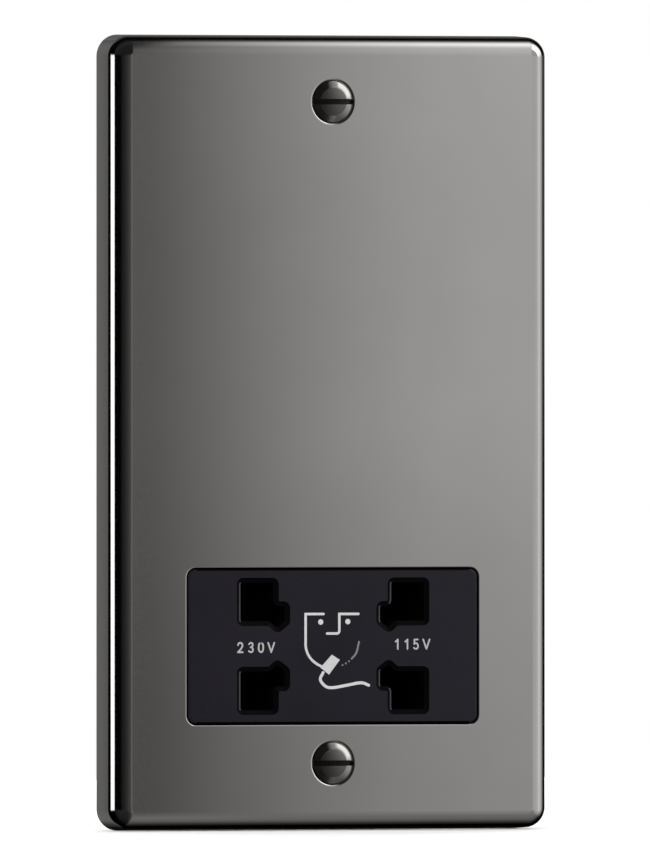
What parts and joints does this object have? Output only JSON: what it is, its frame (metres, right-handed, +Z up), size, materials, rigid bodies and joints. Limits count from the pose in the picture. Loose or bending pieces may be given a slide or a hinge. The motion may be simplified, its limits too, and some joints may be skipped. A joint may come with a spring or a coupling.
{
  "type": "shaver socket",
  "caption": "Wall shaver supply unit: tall polished metal plate with a black face low on it, shuttered pin apertures, and an isolating transformer in a housing behind.",
  "frame": {"origin": "on the wall plane, midway between the fixing screws", "axes": "+Z up along the plate's height, +Y into the wall, so the plate faces -Y and +X is to the right of a viewer who faces it"},
  "size_m": [0.0856, 0.0445, 0.145],
  "materials": {
    "black_nickel": "polished black nickel plating",
    "face_plastic": "satin black moulding",
    "shutter_plastic": "matt black moulding",
    "spring_steel": "drawn spring wire",
    "carrier_plastic": "dark grey moulding",
    "contact_bronze": "phosphor bronze strip",
    "zinc_steel": "bright zinc plating",
    "housing_plastic": "pale grey moulding",
    "core_steel": "varnished laminations",
    "bobbin_nylon": "natural nylon",
    "copper_wire": "enamelled copper wire",
    "winding_tape": "polyester tape",
    "cutout_case": "moulded case",
    "terminal_brass": "machined brass",
    "strap_copper": "tinned copper strip",
    "lead_brown": "PVC sleeving",
    "lead_blue": "PVC sleeving",
    "lead_red": "PVC sleeving",
    "lead_yellow": "PVC sleeving",
    "lead_black": "PVC sleeving"
  },
  "bodies": {
    "unit": {"front_plate": "black_nickel", "fixing_screws": "black_nickel", "socket_face": "face_plastic", "shutter_spring_left": "spring_steel", "shutter_spring_right": "spring_steel", "contact_carrier": "carrier_plastic", "contact_230_upper": "contact_bronze", "contact_230_lower": "contact_bronze", "contact_115_upper": "contact_bronze", "contact_115_lower": "contact_bronze", "plate_studs": "zinc_steel", "plate_nuts": "zinc_steel", "chassis": "housing_plastic", "transformer_core": "core_steel", "core_screws": "zinc_steel", "transformer_bobbin": "bobbin_nylon", "primary_winding": "copper_wire", "secondary_winding": "copper_wire", "primary_tape": "winding_tape", "secondary_tape": "winding_tape", "thermal_cutout": "cutout_case", "rear_cover": "housing_plastic", "cover_screws": "zinc_steel", "terminal_block": "carrier_plastic", "terminal_live": "terminal_brass", "terminal_neutral": "terminal_brass", "terminal_earth": "terminal_brass", "terminal_screws": "zinc_steel", "earth_strap": "strap_copper", "live_lead": "lead_brown", "neutral_lead": "lead_blue", "lead_230": "lead_red", "lead_115": "lead_yellow", "lead_common": "lead_black", "common_link": "lead_black"},
    "shutter": {"interlock_shutter": "shutter_plastic"}
  },
  "joints": [
    {"name": "shutter_slide", "type": "slide", "parent": "unit", "child": "shutter", "axis": [1, 0, 0], "range_m": [-0.0072, 0.0072], "stiffness_N_per_m": 200, "deforming": ["shutter_spring_left", "shutter_spring_right"]}
  ]
}
